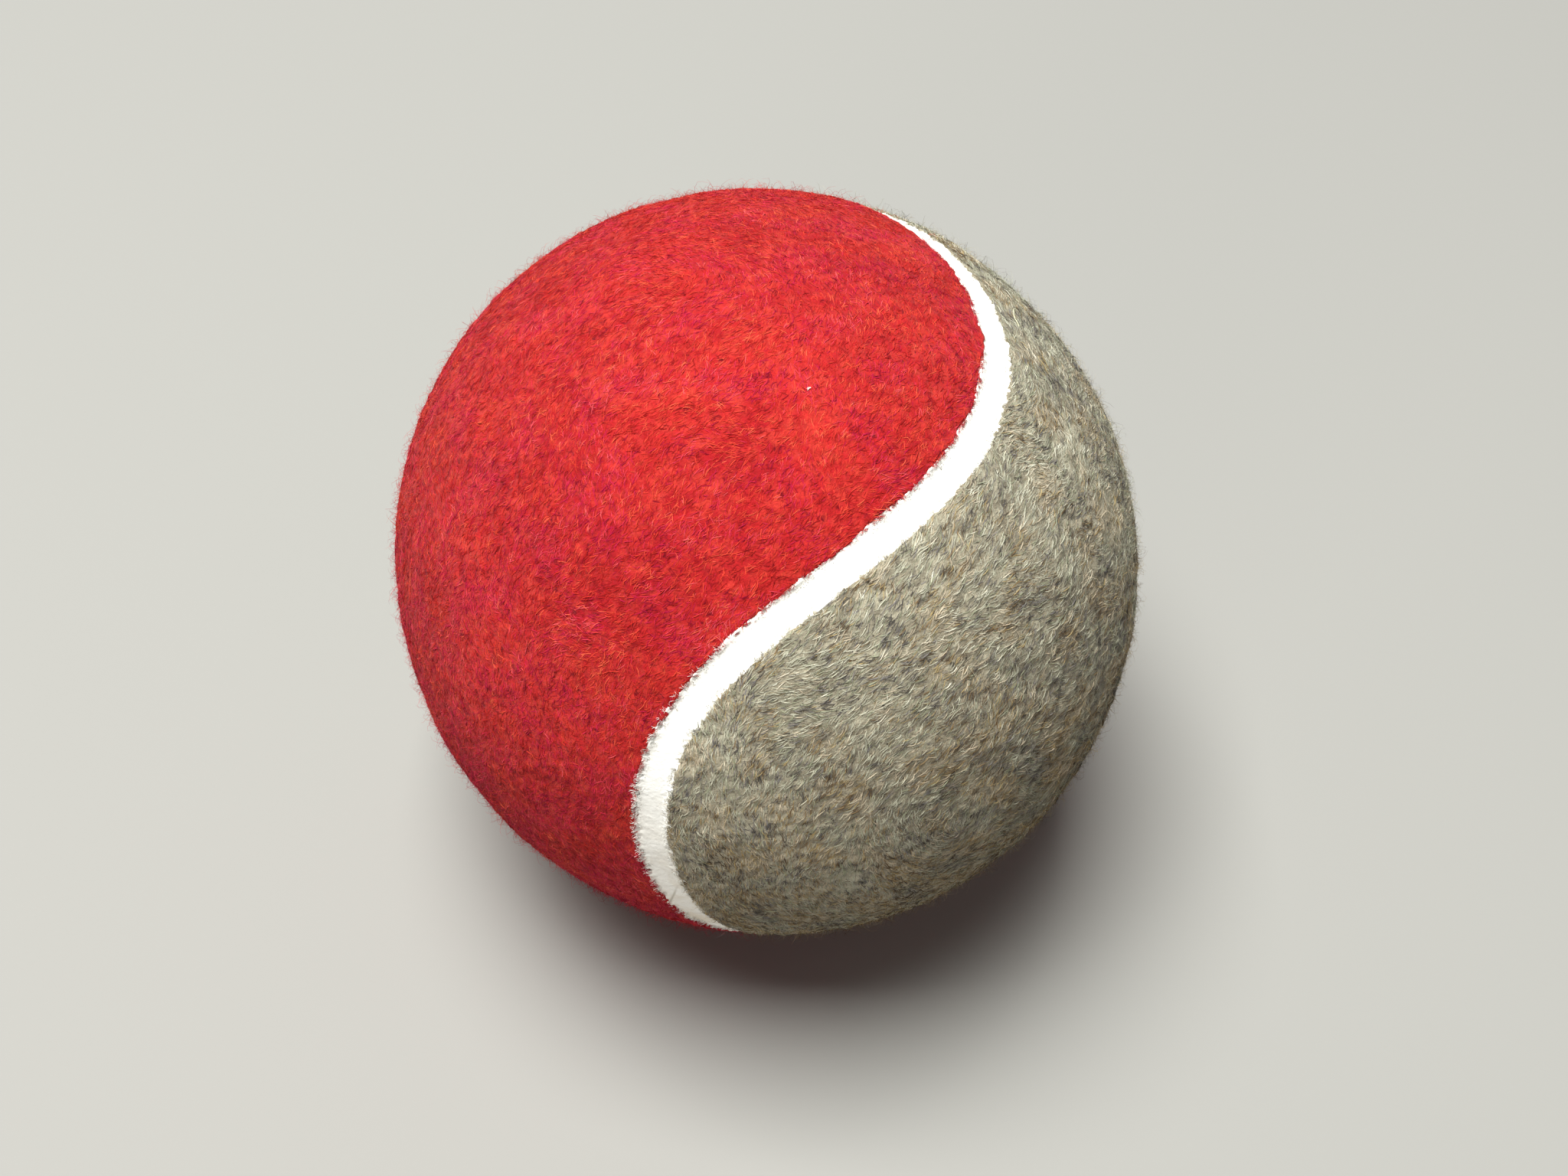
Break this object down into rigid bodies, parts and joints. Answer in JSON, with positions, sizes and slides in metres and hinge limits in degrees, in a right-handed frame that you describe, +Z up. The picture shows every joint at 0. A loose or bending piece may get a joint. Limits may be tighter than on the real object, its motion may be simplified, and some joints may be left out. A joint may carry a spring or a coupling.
{
  "type": "felt-covered ball",
  "caption": "Large hollow rubber ball covered by two interlocking felt panels, one red and one heathered grey, with white cement in the groove between them.",
  "frame": {"origin": "middle of the flat that the nap makes where the ball rests on a table", "axes": "+Z up from the table, +Y away from the side that shows both panels and the seam's S-bend, +X to the right of it"},
  "size_m": [0.118, 0.118, 0.1172],
  "materials": {
    "red_felt": "napped wool felt",
    "grey_felt": "heathered wool felt",
    "seam_rubber": "satin white rubber cement",
    "adhesive": "tacky amber rubber solution",
    "core_rubber": "moulded matte black rubber"
  },
  "bodies": {
    "root": {"red_felt_panel": "red_felt", "grey_felt_panel": "grey_felt", "seam_cement": "seam_rubber", "cover_adhesive": "adhesive", "core_shell_a": "core_rubber", "core_shell_b": "core_rubber", "core_joint_cement": "adhesive"}
  },
  "joints": []
}
